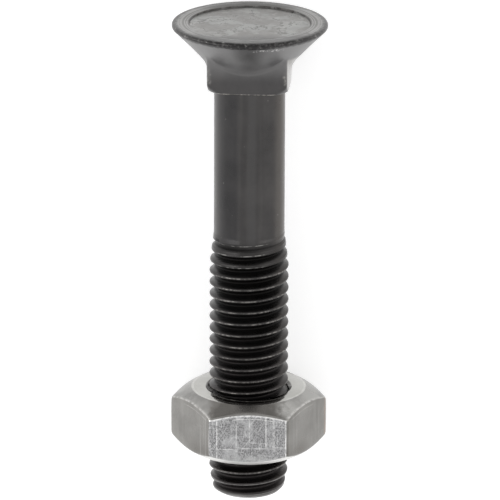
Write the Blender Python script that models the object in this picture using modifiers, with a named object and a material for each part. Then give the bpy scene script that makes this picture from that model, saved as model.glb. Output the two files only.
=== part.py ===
"""Plow bolt with its hex nut, lying on the rim of its head and one flat of the nut.

The bolt is one forging: a flat countersunk head with a shallow round recess, a short
square neck, a plain shank and a rolled right-hand metric thread. Each piece is modelled
upright on its own axis, the head's face at height 0 and the tail downwards, and an
empty lays both pieces down on the ground. Lengths "from the face" run towards the tail.
"""
import math

import bmesh
import bpy
from mathutils import Matrix, Vector

MM = 0.001

# Head
HEAD_DIAMETER = 19.1 * MM
HEAD_ANGLE = math.radians(90.0)
LAND_HEIGHT = 0.45 * MM
RIM_BREAK = 0.1 * MM
RECESS_DIAMETER = 15.1 * MM
RECESS_DEPTH = 0.25 * MM
RECESS_SLOPE = 0.12 * MM

# Square neck
NECK_ACROSS_FLATS = 10.0 * MM
NECK_END = 7.85 * MM
NECK_EDGE_ROUND = 0.25 * MM
NECK_CORNER_CUT = 1.1 * MM
NECK_TURN = math.radians(-4.2)
NECK_BELOW_RECESS = 0.5 * MM

# Shank and thread. The shank is the blank that the thread is rolled from, so it is
# thinner than the thread's crests, and the thread's form follows its pitch.
OVERALL_LENGTH = 60.6 * MM
THREAD_LENGTH = 33.9 * MM
THREAD_DIAMETER = 9.84 * MM
THREAD_PITCH = 1.5 * MM
THREAD_FLANK_ANGLE = math.radians(30.0)
THREAD_DEPTH = 0.6134 * THREAD_PITCH
THREAD_CREST_WIDTH = THREAD_PITCH / 8
THREAD_OVER_SHANK = 0.555 * MM
THREAD_RUNOUT = 4.4 * MM
GROOVE_LAG = 0.7 * MM
BLANK_UNDER_ROOT = 0.23 * MM
CREST_TO_END = 0.98 * MM
END_TAPER_LENGTH = 2.4 * MM
END_TAPER_DEPTH = 0.49 * MM
END_EDGE_LENGTH = 0.35 * MM
END_EDGE_DEPTH = 0.55 * MM

# Nut
NUT_ACROSS_FLATS = 16.92 * MM
NUT_HEIGHT = 7.9 * MM
NUT_FACE_INSET = 1.36 * MM
NUT_CHAMFER_ANGLE = math.radians(30.0)
NUT_MOUTH_CHAMFER = 0.16 * MM
THREAD_CLEARANCE = 0.3 * MM
BOLT_PAST_NUT = 5.6 * MM

# Facets and the reach of a cutter past the surface that it cuts
TURNED_STEPS = 64
THREAD_STEPS = 32
NUT_STEPS = 96
CUT_REACH = 0.6 * MM
WELD_DISTANCE = 0.001 * MM
SHARP_ANGLE = math.radians(30.0)

# Whole turns of thread made past each end of the bolt's own, for the trim to cut off
SPARE_TURNS_BELOW = 3
SPARE_TURNS_ABOVE = 1

# What follows from the sizes above
HEAD_RADIUS = HEAD_DIAMETER / 2
CREST_RADIUS = THREAD_DIAMETER / 2
ROOT_RADIUS = CREST_RADIUS - THREAD_DEPTH
SHANK_RADIUS = CREST_RADIUS - THREAD_OVER_SHANK
THREAD_START = OVERALL_LENGTH - THREAD_LENGTH
THREAD_FULL = THREAD_START + THREAD_RUNOUT
END_FACE_RADIUS = CREST_RADIUS - END_TAPER_DEPTH - END_EDGE_DEPTH
NECK_TOP = RECESS_DEPTH + NECK_BELOW_RECESS
NUT_START = OVERALL_LENGTH - BOLT_PAST_NUT - NUT_HEIGHT
NUT_FACE_RADIUS = NUT_ACROSS_FLATS / 2 - NUT_FACE_INSET

PARTS = "Plow bolt"
CUTTERS = "Cutters"


def empty_scene():
    """Removes what the scene holds, so that the part stands alone."""
    for thing in list(bpy.data.objects):
        bpy.data.objects.remove(thing, do_unlink=True)


def collection(name):
    """A new collection of the given name in the scene."""
    group = bpy.data.collections.new(name)
    bpy.context.scene.collection.children.link(group)
    return group


def steel(name, colour, roughness, metallic):
    """A Principled material of one plain colour."""
    material = bpy.data.materials.new(name)
    material.use_nodes = True
    shader = material.node_tree.nodes["Principled BSDF"]
    shader.inputs["Base Color"].default_value = (*colour, 1.0)
    shader.inputs["Roughness"].default_value = roughness
    shader.inputs["Metallic"].default_value = metallic
    return material


def add_object(name, mesh, group, parent, material=None):
    """Links an object for the mesh; without a material it is a cutter, shown as wire."""
    thing = bpy.data.objects.new(name, mesh)
    bpy.data.collections[group].objects.link(thing)
    thing.parent = parent
    if material:
        mesh.materials.append(material)
    else:
        thing.hide_render = True
        thing.display_type = "WIRE"
    return thing


def turned(name, profile, steps, group, parent, material=None):
    """A solid of revolution: (radius, height) points down its outer side, top to bottom."""
    mesh = bpy.data.meshes.new(name)
    points = [(radius, 0.0, height) for radius, height in profile]
    edges = [(i, i + 1) for i in range(len(points) - 1)]
    mesh.from_pydata(points, edges, [])
    thing = add_object(name, mesh, group, parent, material)
    screw = thing.modifiers.new("Turn", "SCREW")
    screw.steps = steps
    screw.render_steps = steps
    screw.use_merge_vertices = True
    screw.merge_threshold = WELD_DISTANCE
    return thing


def boolean(thing, other, operation):
    """Joins, cuts or intersects one object with another."""
    modifier = thing.modifiers.new(operation.title() + " " + other.name, "BOOLEAN")
    modifier.operation = operation
    modifier.solver = "EXACT"
    modifier.object = other


def forged_body(material, parent):
    """Head, cone and shank in one turned profile, ending in a taper inside the thread."""
    cone_end = LAND_HEIGHT + (HEAD_RADIUS - SHANK_RADIUS) / math.tan(HEAD_ANGLE / 2)
    profile = [
        (0.0, -RECESS_DEPTH),
        (RECESS_DIAMETER / 2 - RECESS_SLOPE, -RECESS_DEPTH),
        (RECESS_DIAMETER / 2, 0.0),
        (HEAD_RADIUS - RIM_BREAK, 0.0),
        (HEAD_RADIUS, -RIM_BREAK),
        (HEAD_RADIUS, -LAND_HEIGHT),
        (SHANK_RADIUS, -cone_end),
        (SHANK_RADIUS, -THREAD_START - GROOVE_LAG),
        (ROOT_RADIUS - BLANK_UNDER_ROOT, -THREAD_FULL),
        (0.0, -THREAD_FULL),
    ]
    return turned("plow_bolt", profile, TURNED_STEPS, PARTS, parent, material)


def square_neck(parent):
    """The square block under the cone, its lower corners cut by a cone."""
    mesh = bpy.data.meshes.new("square_neck")
    shape = bmesh.new()
    bmesh.ops.create_cube(shape, size=1.0)
    size = Vector((NECK_ACROSS_FLATS, NECK_ACROSS_FLATS, NECK_END - NECK_TOP))
    bmesh.ops.scale(shape, vec=size, verts=shape.verts)
    upright = [e for e in shape.edges if abs(e.verts[0].co.z - e.verts[1].co.z) > MM]
    bmesh.ops.bevel(
        shape, geom=upright, offset=NECK_EDGE_ROUND, segments=2, profile=0.5, affect="EDGES"
    )
    shape.to_mesh(mesh)
    shape.free()
    neck = add_object("square_neck", mesh, CUTTERS, parent)
    neck.location.z = -(NECK_TOP + NECK_END) / 2
    neck.rotation_euler.z = NECK_TURN

    corner = NECK_ACROSS_FLATS / math.sqrt(2)
    profile = [
        (0.0, -NECK_TOP + CUT_REACH),
        (corner + CUT_REACH, -NECK_TOP + CUT_REACH),
        (corner + CUT_REACH, -NECK_END + NECK_CORNER_CUT + CUT_REACH),
        (corner - NECK_CORNER_CUT - CUT_REACH, -NECK_END - CUT_REACH),
        (0.0, -NECK_END - CUT_REACH),
    ]
    boolean(neck, turned("neck_corner_cone", profile, TURNED_STEPS, CUTTERS, parent), "INTERSECT")
    return neck


def thread_pitch_profile(top):
    """One pitch of the thread's section, from its upper root corner to the next one."""
    flank = THREAD_DEPTH * math.tan(THREAD_FLANK_ANGLE)
    return [
        (ROOT_RADIUS, top),
        (CREST_RADIUS, top - flank),
        (CREST_RADIUS, top - flank - THREAD_CREST_WIDTH),
        (ROOT_RADIUS, top - 2 * flank - THREAD_CREST_WIDTH),
        (ROOT_RADIUS, top - THREAD_PITCH),
    ]


def threaded_rod(parent):
    """A right-hand thread longer than the bolt needs, closed at both ends.

    The section of one pitch is screwed round the axis once for each turn. Each end is a
    loop of one turn, which is drawn together to a point on the axis.
    """
    flank = THREAD_DEPTH * math.tan(THREAD_FLANK_ANGLE)
    crest_middle = flank + THREAD_CREST_WIDTH / 2
    lowest_crest = -OVERALL_LENGTH + CREST_TO_END - SPARE_TURNS_BELOW * THREAD_PITCH
    profile = thread_pitch_profile(lowest_crest + crest_middle)
    section = turned("thread_section", profile, THREAD_STEPS, CUTTERS, parent)
    screw = section.modifiers["Turn"]
    screw.use_merge_vertices = False
    screw.screw_offset = THREAD_PITCH
    own_turns = math.ceil(THREAD_LENGTH / THREAD_PITCH)
    screw.iterations = own_turns + SPARE_TURNS_BELOW + SPARE_TURNS_ABOVE

    bpy.context.view_layer.update()
    wall = section.evaluated_get(bpy.context.evaluated_depsgraph_get())
    mesh = bpy.data.meshes.new_from_object(wall)
    bpy.data.objects.remove(section, do_unlink=True)

    shape = bmesh.new()
    shape.from_mesh(mesh)
    bmesh.ops.remove_doubles(shape, verts=shape.verts, dist=WELD_DISTANCE)
    rims = [e for e in shape.edges if e.is_boundary]
    middle = sum(v.co.z for v in shape.verts) / len(shape.verts)
    for side in (1, -1):
        rim = [e for e in rims if side * (e.verts[0].co.z - middle) > 0]
        heights = [v.co.z for e in rim for v in e.verts]
        tip = Vector((0.0, 0.0, (min(heights) + max(heights)) / 2))
        grown = bmesh.ops.extrude_edge_only(shape, edges=rim)["geom"]
        corners = [g for g in grown if isinstance(g, bmesh.types.BMVert)]
        bmesh.ops.pointmerge(shape, verts=corners, merge_co=tip)
    bmesh.ops.recalc_face_normals(shape, faces=shape.faces)
    shape.to_mesh(mesh)
    shape.free()
    return add_object("threaded_rod", mesh, CUTTERS, parent)


def thread(parent):
    """The threaded rod trimmed to the run-out, the tapered end and the end face."""
    outside = CREST_RADIUS + CUT_REACH
    runout_slope = THREAD_OVER_SHANK / THREAD_RUNOUT
    taper_end = OVERALL_LENGTH - END_EDGE_LENGTH
    taper_reach = CUT_REACH * END_TAPER_LENGTH / END_TAPER_DEPTH
    profile = [
        (0.0, -THREAD_START + CUT_REACH),
        (SHANK_RADIUS - runout_slope * CUT_REACH, -THREAD_START + CUT_REACH),
        (CREST_RADIUS, -THREAD_FULL),
        (outside, -THREAD_FULL - CUT_REACH),
        (outside, -taper_end + END_TAPER_LENGTH + taper_reach),
        (CREST_RADIUS - END_TAPER_DEPTH, -taper_end),
        (END_FACE_RADIUS, -OVERALL_LENGTH),
        (0.0, -OVERALL_LENGTH),
    ]
    # The shank, these limits and the rod each have facets at angles of their own, because
    # edges that cross at one angle, or facets that are almost flush, leave slivers
    half_facet = math.pi / TURNED_STEPS
    limits = turned("thread_limits", profile, TURNED_STEPS, CUTTERS, parent)
    limits.rotation_euler.z = half_facet
    rod = threaded_rod(parent)
    rod.rotation_euler.z = half_facet / 2
    boolean(rod, limits, "INTERSECT")
    return rod


def plow_bolt(material, parent):
    """The whole forging: turned body, square neck and thread joined into one."""
    bolt = forged_body(material, parent)
    boolean(bolt, square_neck(parent), "UNION")
    boolean(bolt, thread(parent), "UNION")
    return bolt


def hex_nut(material, parent):
    """The hexagon, chamfered at both ends, with its mouths and its bore."""
    half = NUT_HEIGHT / 2
    corner = NUT_ACROSS_FLATS / math.sqrt(3)
    mesh = bpy.data.meshes.new("hex_nut")
    shape = bmesh.new()
    bmesh.ops.create_cone(
        shape, cap_ends=True, segments=6, radius1=corner, radius2=corner, depth=NUT_HEIGHT
    )
    # A corner of the hexagon points along X, so its flats look up and down when it lies
    first = max(shape.verts, key=lambda v: v.co.x)
    turn = -math.atan2(first.co.y, first.co.x)
    bmesh.ops.rotate(shape, verts=shape.verts, matrix=Matrix.Rotation(turn, 3, "Z"))
    shape.to_mesh(mesh)
    shape.free()
    nut = add_object("hex_nut", mesh, PARTS, parent, material)

    outside = corner + CUT_REACH
    slope = math.tan(NUT_CHAMFER_ANGLE)
    drop = (outside - NUT_FACE_RADIUS) * slope
    rise = CUT_REACH * slope
    chamfers = [
        (0.0, half + rise),
        (NUT_FACE_RADIUS - CUT_REACH, half + rise),
        (outside, half - drop),
        (outside, -half + drop),
        (NUT_FACE_RADIUS - CUT_REACH, -half - rise),
        (0.0, -half - rise),
    ]
    boolean(nut, turned("nut_chamfers", chamfers, NUT_STEPS, CUTTERS, nut), "INTERSECT")

    bore = CREST_RADIUS + THREAD_CLEARANCE
    mouth = bore + NUT_MOUTH_CHAMFER
    hole = [
        (0.0, half + CUT_REACH),
        (mouth + CUT_REACH, half + CUT_REACH),
        (bore, half - NUT_MOUTH_CHAMFER),
        (bore, -half + NUT_MOUTH_CHAMFER),
        (mouth + CUT_REACH, -half - CUT_REACH),
        (0.0, -half - CUT_REACH),
    ]
    boolean(nut, turned("nut_bore", hole, TURNED_STEPS, CUTTERS, nut), "DIFFERENCE")
    nut.location.z = -(NUT_START + half)
    return nut


def lying_pose(empty):
    """Lays the upright pieces on the ground, the head towards +Y.

    The bolt rests on the land of its head and on the nut's lowest flat, so its axis
    falls a little from the larger of the two to the smaller. It touches the ground at
    the land's lower edge and the flat's tail end, or the other two if the nut is larger.
    """
    flat = NUT_ACROSS_FLATS / 2
    chamfer = NUT_FACE_INSET * math.tan(NUT_CHAMFER_ANGLE)
    if HEAD_RADIUS > flat:
        land_contact = LAND_HEIGHT
        flat_contact = NUT_START + NUT_HEIGHT - chamfer
    else:
        land_contact = RIM_BREAK
        flat_contact = NUT_START + chamfer
    tilt = math.atan2(HEAD_RADIUS - flat, flat_contact - land_contact)
    height = HEAD_RADIUS * math.cos(tilt) + land_contact * math.sin(tilt)
    front = (HEAD_RADIUS - RIM_BREAK) * abs(math.sin(tilt))
    back = OVERALL_LENGTH * math.cos(tilt) + END_FACE_RADIUS * abs(math.sin(tilt))
    empty.rotation_euler.x = tilt - math.pi / 2
    empty.location = (0.0, (back - front) / 2, height)


def round_shading():
    """Smooth shading on the round surfaces, with the real edges kept sharp."""
    for thing in bpy.data.collections[PARTS].objects:
        if thing.type == "MESH":
            thing.data.shade_smooth()
            thing.data.set_sharp_from_angle(angle=SHARP_ANGLE)


def main():
    empty_scene()
    collection(PARTS)
    collection(CUTTERS)
    pose = bpy.data.objects.new("lying_pose", None)
    bpy.data.collections[PARTS].objects.link(pose)
    plow_bolt(steel("dark_steel", (0.065, 0.062, 0.062), 0.42, 0.9), pose)
    hex_nut(steel("plain_steel", (0.42, 0.41, 0.39), 0.35, 1.0), pose)
    lying_pose(pose)
    round_shading()


main()
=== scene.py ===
"""Plow bolt with its hex nut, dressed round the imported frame.

Each piece is modelled upright on its own axis, the head's face at height 0 and the tail
downwards, and then laid down in its mesh, as the frame's nodes lie. Heights are in
metres, and "from the face" is the distance below the head's face.
"""
import math

import bpy
from mathutils import Matrix, Vector


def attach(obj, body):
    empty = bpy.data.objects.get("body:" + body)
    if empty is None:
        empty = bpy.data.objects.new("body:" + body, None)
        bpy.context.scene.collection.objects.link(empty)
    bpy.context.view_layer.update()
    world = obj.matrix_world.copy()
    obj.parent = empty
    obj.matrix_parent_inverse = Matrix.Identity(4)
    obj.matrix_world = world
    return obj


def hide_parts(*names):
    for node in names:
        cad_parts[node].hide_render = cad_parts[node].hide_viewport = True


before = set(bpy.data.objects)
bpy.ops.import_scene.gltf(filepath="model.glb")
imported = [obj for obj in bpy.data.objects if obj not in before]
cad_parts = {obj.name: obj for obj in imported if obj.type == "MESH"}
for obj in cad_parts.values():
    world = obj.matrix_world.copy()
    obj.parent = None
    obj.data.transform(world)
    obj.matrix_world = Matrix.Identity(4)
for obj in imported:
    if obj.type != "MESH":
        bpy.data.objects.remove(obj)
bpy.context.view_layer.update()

MM = 0.001

# Head
HEAD_RADIUS = 9.55 * MM
LAND_HEIGHT = 0.45 * MM
RECESS_RADIUS = 7.55 * MM
RECESS_DEPTH = 0.25 * MM

# Square neck, turned a little about the bolt's axis
NECK_HALF = 5.0 * MM
NECK_END = 7.85 * MM
NECK_TURN = math.radians(-4.2)
NECK_CORNER_CUT = 1.1 * MM
NECK_EDGE_ROUND = 0.4 * MM
NECK_ROUGH_RADIUS = 6.365 * MM
NECK_ROWS = 48

# Forged fillet between cone and neck, largest at the middle of each flat
FORGED_FILLET = 0.38 * MM
MID_FLAT_FILLET = 0.4 * MM
MID_FLAT_REACH = 1.4 * MM
FILLET_START = 1.2 * MM
FILLET_GROWTH = 2.4 * MM
LEAST_FILLET = 0.001 * MM

# Shank and thread, as in the frame
LENGTH = 60.6 * MM
SHANK_RADIUS = 4.365 * MM
SHANK_TOP = 3.0 * MM
CREST_RADIUS = 4.92 * MM
PITCH = 1.5 * MM
THREAD_DEPTH = 0.92 * MM
ROOT_RADIUS = CREST_RADIUS - THREAD_DEPTH
CREST_FLAT = PITCH / 16
FLANK_SLOPE = math.tan(math.radians(60.0))
FIRST_CREST = 31.12 * MM
RUNOUT_START = 26.7 * MM
RUNOUT_END = 31.1 * MM
GROOVE_START = 27.4 * MM
BLANK_TIP_RADIUS = 3.77 * MM
BLANK_END = 29.9 * MM
TAPER_START = 57.85 * MM
TAPER_END = 60.25 * MM
TAPER_RADIUS = 4.43 * MM
END_RADIUS = 3.88 * MM
ROLLED_ROUND = 0.07 * MM
BLEND_ROUND = 0.03 * MM

# Nut
NUT_FLAT = 8.46 * MM
NUT_FACE_RADIUS = 7.1 * MM
NUT_START = 47.1 * MM
NUT_HEIGHT = 7.9 * MM
NUT_MOUTH_RADIUS = 5.38 * MM
NUT_THREAD_GAP = 0.1 * MM
NUT_CREST_RADIUS = 4.27 * MM
NUT_CHAMFER_SLOPE = math.tan(math.radians(30.0))
NUT_CORNER_ROUND = 0.22 * MM
NUT_EDGE_ROUND = 0.3 * MM
NUT_EDGE_GROWTH = 0.5 * MM
NUT_ROW = 0.07 * MM
NUT_END_ROWS = 29
NUT_MIDDLE_ROW = 3.0 * MM
CUT_PAST_FACE = 0.5 * MM

# Where the upright pieces lie in the frame
TILT = math.radians(1.16143)
AXIS_HEIGHT = 9.55716 * MM
AXIS_SHIFT = 30.23732 * MM
LAY_DOWN = Matrix.Translation((0, AXIS_SHIFT, AXIS_HEIGHT)) @ Matrix.Rotation(TILT - math.pi / 2, 4, "X")

# How finely the pieces are turned
TURN_STEPS = 96
NECK_STEPS = 256
NUT_STEPS = 384
SHANK_TURNS = 42
TAP_TURNS = 10

# Corners closer than the weld are merged, and edges past the sharp angle aren't smoothed
WELD = 0.002 * MM
SHARP_ANGLE = math.radians(32.0)


# Modelling helpers

def deselect_all():
    if bpy.context.object and bpy.context.object.mode != "OBJECT":
        bpy.ops.object.mode_set(mode="OBJECT")
    bpy.ops.object.select_all(action="DESELECT")


def make_active(thing):
    deselect_all()
    thing.select_set(True)
    bpy.context.view_layer.objects.active = thing


def apply_modifier(thing, modifier):
    make_active(thing)
    bpy.ops.object.modifier_apply(modifier=modifier.name)


def outline_by_extruding(name, points):
    """A chain of edges through (radius, height) points, extruded from a single corner."""
    deselect_all()
    bpy.ops.mesh.primitive_plane_add(size=MM, location=(points[0][0], 0, points[0][1]))
    thing = bpy.context.object
    thing.name = name
    bpy.ops.object.transform_apply(location=True, rotation=False, scale=False)
    bpy.ops.object.mode_set(mode="EDIT")
    bpy.ops.mesh.select_all(action="SELECT")
    bpy.ops.mesh.merge(type="CENTER")
    for before, after in zip(points[:-1], points[1:]):
        step = (after[0] - before[0], 0, after[1] - before[1])
        bpy.ops.mesh.extrude_region_move(TRANSFORM_OT_translate={"value": step})
    bpy.ops.object.mode_set(mode="OBJECT")
    return thing


def screw_round(thing, steps, rise=0.0, turns=1):
    """Turns the outline about the upright axis, rising by rise for each turn."""
    screw = thing.modifiers.new("Turn", "SCREW")
    screw.steps = steps
    screw.render_steps = steps
    screw.screw_offset = rise
    screw.iterations = turns
    screw.use_merge_vertices = rise == 0.0
    screw.merge_threshold = WELD
    apply_modifier(thing, screw)
    bpy.ops.object.mode_set(mode="EDIT")
    bpy.ops.mesh.select_all(action="SELECT")
    bpy.ops.mesh.remove_doubles(threshold=WELD)
    bpy.ops.mesh.normals_make_consistent(inside=False)
    bpy.ops.object.mode_set(mode="OBJECT")


def combine(thing, other, operation):
    """Joins one piece with another or cuts it by the other, which is used up."""
    modifier = thing.modifiers.new("Combine", "BOOLEAN")
    modifier.operation = operation
    modifier.solver = "EXACT"
    modifier.object = other
    apply_modifier(thing, modifier)
    bpy.data.objects.remove(other, do_unlink=True)


def cut_level(thing, height, keep_above):
    """Cuts the piece level at a height and closes the cut."""
    make_active(thing)
    bpy.ops.object.mode_set(mode="EDIT")
    bpy.ops.mesh.select_all(action="SELECT")
    bpy.ops.mesh.bisect(
        plane_co=(0, 0, height),
        plane_no=(0, 0, 1),
        use_fill=True,
        clear_inner=keep_above,
        clear_outer=not keep_above,
        threshold=WELD / 10,
    )
    bpy.ops.object.mode_set(mode="OBJECT")


def set_radius(vertex, radius_at):
    """Moves a corner of the mesh in or out to the radius for its angle and its depth."""
    place = vertex.co
    angle = math.atan2(place.y, place.x)
    radius = radius_at(angle, -place.z)
    place.x = radius * math.cos(angle)
    place.y = radius * math.sin(angle)


def smooth_above(value, floor, rounding):
    """The larger of two values, with a rounded change from one to the other."""
    gap = value - floor
    return floor + (gap + math.sqrt(gap * gap + rounding * rounding)) / 2


def smooth_below(value, ceiling, rounding):
    """The smaller of two values, with the same rounded change."""
    return -smooth_above(-value, -ceiling, rounding)


def along(points, where):
    """Straight-line values between (place, value) points."""
    if where <= points[0][0]:
        return points[0][1]
    for (x0, y0), (x1, y1) in zip(points[:-1], points[1:]):
        if where <= x1:
            return y0 + (y1 - y0) * (where - x0) / (x1 - x0)
    return points[-1][1]


# Thread form

# The largest radius at each distance from the face, and the smallest in the run-out
LIMITS = [
    (RUNOUT_START, SHANK_RADIUS),
    (RUNOUT_END, CREST_RADIUS),
    (TAPER_START, CREST_RADIUS),
    (TAPER_END, TAPER_RADIUS),
    (LENGTH, END_RADIUS),
    (LENGTH + MM, END_RADIUS - MM),
]
BLANK = [
    (GROOVE_START, SHANK_RADIUS),
    (BLANK_END, BLANK_TIP_RADIUS),
    (BLANK_END + 0.5 * MM, BLANK_TIP_RADIUS - MM),
]

# Places in mm down one pitch where the section bends, measured from a crest
SECTION_PLACES = [
    0.0, 0.05, 0.1, 0.16, 0.27, 0.4, 0.53, 0.6, 0.67,
    0.75, 0.83, 0.9, 0.97, 1.1, 1.23, 1.34, 1.4, 1.45, 1.5,
]


def from_crest(angle, from_face):
    """Distance along the axis to the nearest crest of the right-hand thread."""
    turns = (from_face - FIRST_CREST) / PITCH + angle / (2 * math.pi)
    return (turns - round(turns)) * PITCH


def rolled_radius(angle, from_face, crest=CREST_RADIUS, root=ROOT_RADIUS):
    """The thread's own form, with its crests and roots rounded."""
    drop = (abs(from_crest(angle, from_face)) - CREST_FLAT) * FLANK_SLOPE
    drop = smooth_above(drop, 0.0, ROLLED_ROUND)
    return crest - smooth_below(drop, crest - root, 2 * ROLLED_ROUND)


def bolt_radius(angle, from_face):
    """The plain shank, or the rolled thread trimmed to its run-out and taper."""
    if from_face <= RUNOUT_START:
        return SHANK_RADIUS
    rounding = BLEND_ROUND * min(1.0, (from_face - RUNOUT_START) / MM)
    rolled = rolled_radius(angle, from_face)
    trimmed = smooth_below(rolled, along(LIMITS, from_face), rounding)
    return smooth_above(trimmed, along(BLANK, from_face), rounding)


def tap_radius(angle, from_face):
    """The nut's thread, in mesh with the bolt's, opening into a countersink at each end."""
    tapped = rolled_radius(angle, from_face, CREST_RADIUS + NUT_THREAD_GAP, ROOT_RADIUS)
    tapped = smooth_above(tapped, NUT_CREST_RADIUS, BLEND_ROUND)
    inside = min(from_face - NUT_START, NUT_START + NUT_HEIGHT - from_face)
    return smooth_above(tapped, NUT_MOUTH_RADIUS - inside, BLEND_ROUND)


def helical_grid(name, from_face_low, turns):
    """A tube whose rows follow the thread, ready to be shaped."""
    top = -(FIRST_CREST + math.ceil((from_face_low - FIRST_CREST) / PITCH) * PITCH) + PITCH
    points = [(CREST_RADIUS, top - place * MM) for place in SECTION_PLACES]
    tube = outline_by_extruding(name, points)
    screw_round(tube, TURN_STEPS, PITCH, turns)
    return tube


# Bolt

def threaded_shank():
    """Shank, run-out, thread and tapered end in one closed surface."""
    shank = helical_grid("threaded_shank", LENGTH + 2 * PITCH, SHANK_TURNS)
    for vertex in shank.data.vertices:
        set_radius(vertex, bolt_radius)
    cut_level(shank, -LENGTH, True)
    cut_level(shank, -SHANK_TOP, False)
    return shank


def neck_outline(angle):
    """Radius of the square at an angle, with rounded upright edges."""
    turned = angle - NECK_TURN
    across = NECK_HALF / max(abs(math.cos(turned)), 1e-6)
    along_it = NECK_HALF / max(abs(math.sin(turned)), 1e-6)
    return smooth_below(across, along_it, NECK_EDGE_ROUND)


def forged_radius(angle, from_face):
    """The cone running out into the square neck with a forged fillet."""
    cone = HEAD_RADIUS - max(0.0, from_face - LAND_HEIGHT)
    corner = NECK_HALF * math.sqrt(2) - max(0.0, from_face - NECK_END + NECK_CORNER_CUT)
    outline = neck_outline(angle)
    neck = smooth_below(outline, corner, NECK_EDGE_ROUND)
    share = min(1.0, max(0.0, (from_face - FILLET_START) / FILLET_GROWTH))
    share = share * share * (3 - 2 * share)
    mid_flat = max(0.0, 1.0 - (outline - NECK_HALF) / MID_FLAT_REACH)
    fillet = LEAST_FILLET + (FORGED_FILLET + MID_FLAT_FILLET * mid_flat) * share
    return smooth_above(cone, neck, fillet)


def head_and_neck():
    """The countersunk head and the square neck, turned first and then pressed square."""
    top_points = [
        (0.0, -RECESS_DEPTH),
        (RECESS_RADIUS - 0.26 * MM, -RECESS_DEPTH),
        (RECESS_RADIUS - 0.15 * MM, -RECESS_DEPTH + 0.03 * MM),
        (RECESS_RADIUS - 0.05 * MM, -0.05 * MM),
        (RECESS_RADIUS + 0.06 * MM, 0.0),
        (HEAD_RADIUS - 0.34 * MM, 0.0),
        (HEAD_RADIUS - 0.17 * MM, -0.035 * MM),
        (HEAD_RADIUS - 0.06 * MM, -0.11 * MM),
        (HEAD_RADIUS, -0.22 * MM),
        (HEAD_RADIUS, -LAND_HEIGHT + 0.06 * MM),
        (HEAD_RADIUS - 0.03 * MM, -LAND_HEIGHT - 0.03 * MM),
    ]
    first = LAND_HEIGHT + 0.2 * MM
    last = NECK_END - 0.2 * MM
    down = [first + (last - first) * row / NECK_ROWS for row in range(NECK_ROWS + 1)]
    side_points = [(NECK_ROUGH_RADIUS, -from_face) for from_face in down]
    low_points = [
        (NECK_ROUGH_RADIUS, -NECK_END + 0.08 * MM),
        (NECK_ROUGH_RADIUS, -NECK_END + 0.02 * MM),
        (SHANK_RADIUS + 1.5 * MM, -NECK_END),
        (SHANK_RADIUS - 0.5 * MM, -NECK_END),
        (0.0, -NECK_END),
    ]
    piece = outline_by_extruding("head", top_points + side_points + low_points)
    screw_round(piece, NECK_STEPS)

    # How far the neck's lower edge is rounded in at each distance from the face
    low_edge = [
        (NECK_END - 0.2 * MM, 0.0),
        (NECK_END - 0.08 * MM, 0.03 * MM),
        (NECK_END - 0.02 * MM, 0.10 * MM),
        (NECK_END, 0.22 * MM),
    ]

    def pressed(angle, from_face):
        return forged_radius(angle, from_face) - along(low_edge, from_face)

    for vertex in piece.data.vertices:
        on_side = math.hypot(vertex.co.x, vertex.co.y) > SHANK_RADIUS
        if -vertex.co.z > first - WELD and on_side:
            set_radius(vertex, pressed)
    return piece


def bolt():
    """Head, neck and threaded shank joined into the one forging."""
    piece = threaded_shank()
    combine(piece, head_and_neck(), "UNION")
    piece.name = "bolt_dressed"
    return piece


# Nut

def nut_radius(angle, from_face):
    """The hexagon with rounded corners, running out into the chamfer at each end."""
    sixth = math.pi / 3
    turned = angle / sixth - 0.5
    off = (turned - round(turned)) * sixth
    nearest = NUT_FLAT / math.cos(off)
    next_one = NUT_FLAT / math.cos(sixth - abs(off))
    inside = min(from_face - NUT_START, NUT_START + NUT_HEIGHT - from_face)
    chamfer = NUT_FACE_RADIUS + max(0.0, inside) / NUT_CHAMFER_SLOPE
    rounding = NUT_EDGE_ROUND * min(1.0, inside / NUT_EDGE_GROWTH)
    return smooth_below(smooth_below(nearest, next_one, NUT_CORNER_ROUND), chamfer, rounding)


def nut_bore_cutter():
    """What is cut from the nut: its thread and both countersinks."""
    tap = helical_grid("tap", NUT_START + NUT_HEIGHT + 2 * PITCH, TAP_TURNS)
    for vertex in tap.data.vertices:
        set_radius(vertex, tap_radius)
    cut_level(tap, -(NUT_START + NUT_HEIGHT + CUT_PAST_FACE), True)
    cut_level(tap, -(NUT_START - CUT_PAST_FACE), False)
    return tap


def hex_nut():
    """The nut, turned first and then pressed to a hexagon, with its mouths and thread."""
    rows = [row * NUT_ROW for row in range(1, NUT_END_ROWS + 1)] + [NUT_MIDDLE_ROW]
    down = rows + [NUT_HEIGHT - row for row in reversed(rows)]
    points = [(0.0, -NUT_START), (NUT_FACE_RADIUS, -NUT_START)]
    points += [(NUT_FLAT, -NUT_START - row) for row in down]
    points += [(NUT_FACE_RADIUS, -NUT_START - NUT_HEIGHT), (0.0, -NUT_START - NUT_HEIGHT)]
    nut = outline_by_extruding("nut_dressed", points)
    screw_round(nut, NUT_STEPS)
    for vertex in nut.data.vertices:
        if math.hypot(vertex.co.x, vertex.co.y) > NUT_FACE_RADIUS + WELD:
            set_radius(vertex, nut_radius)
    combine(nut, nut_bore_cutter(), "DIFFERENCE")
    return nut


def lay_down(piece):
    """Lays the upright piece down in its mesh, so that its object stays at the origin.

    The normals follow the larger faces, or a rounded edge would tint the flat beside it.
    """
    piece.data.transform(LAY_DOWN)
    piece.data.update()
    make_active(piece)
    bpy.ops.object.shade_smooth_by_angle(angle=SHARP_ANGLE)
    flats = piece.modifiers.new("Flats", "WEIGHTED_NORMAL")
    flats.mode = "FACE_AREA"
    flats.weight = 50
    flats.keep_sharp = True
    apply_modifier(piece, flats)


# Tones of the bolt: one colour, or the two that a pattern goes between

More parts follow.
